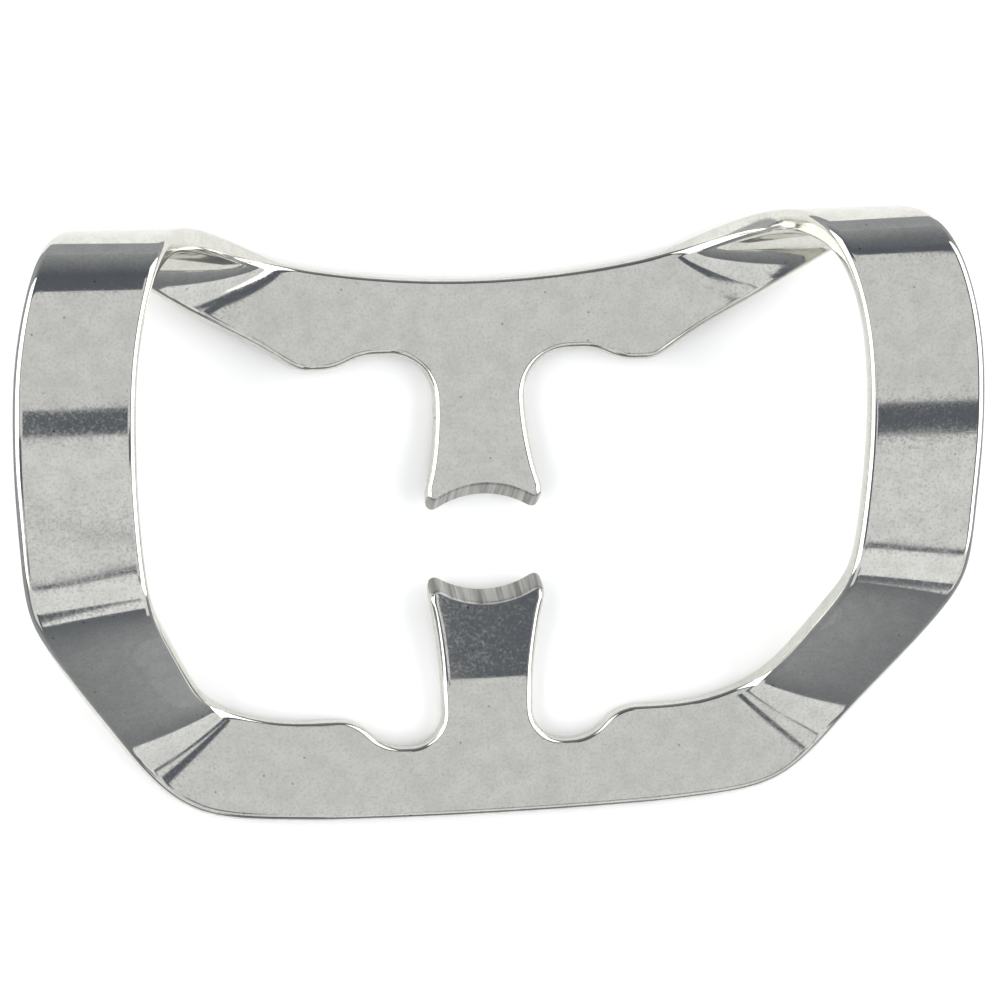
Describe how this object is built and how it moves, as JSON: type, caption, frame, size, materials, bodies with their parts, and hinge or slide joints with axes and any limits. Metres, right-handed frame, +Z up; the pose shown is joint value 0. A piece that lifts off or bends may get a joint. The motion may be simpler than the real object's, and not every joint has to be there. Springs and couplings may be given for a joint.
{
  "type": "rubber dam clamp",
  "caption": "Bent sheet-steel dental clamp: arched side bows join a near and a far plate whose crescent jaws face each other to grip the neck of a front tooth.",
  "frame": {"origin": "bottom centre of the bounding box, on the surface that both plates lie on", "axes": "+X from bow to bow, +Y from the near plate to the far plate, +Z up towards the bows"},
  "size_m": [0.0354, 0.0226, 0.0075],
  "materials": {
    "polished_steel": "stamped spring steel sheet, barrel-tumbled and polished"
  },
  "bodies": {
    "root": {"clamp_body": "polished_steel"}
  },
  "joints": []
}
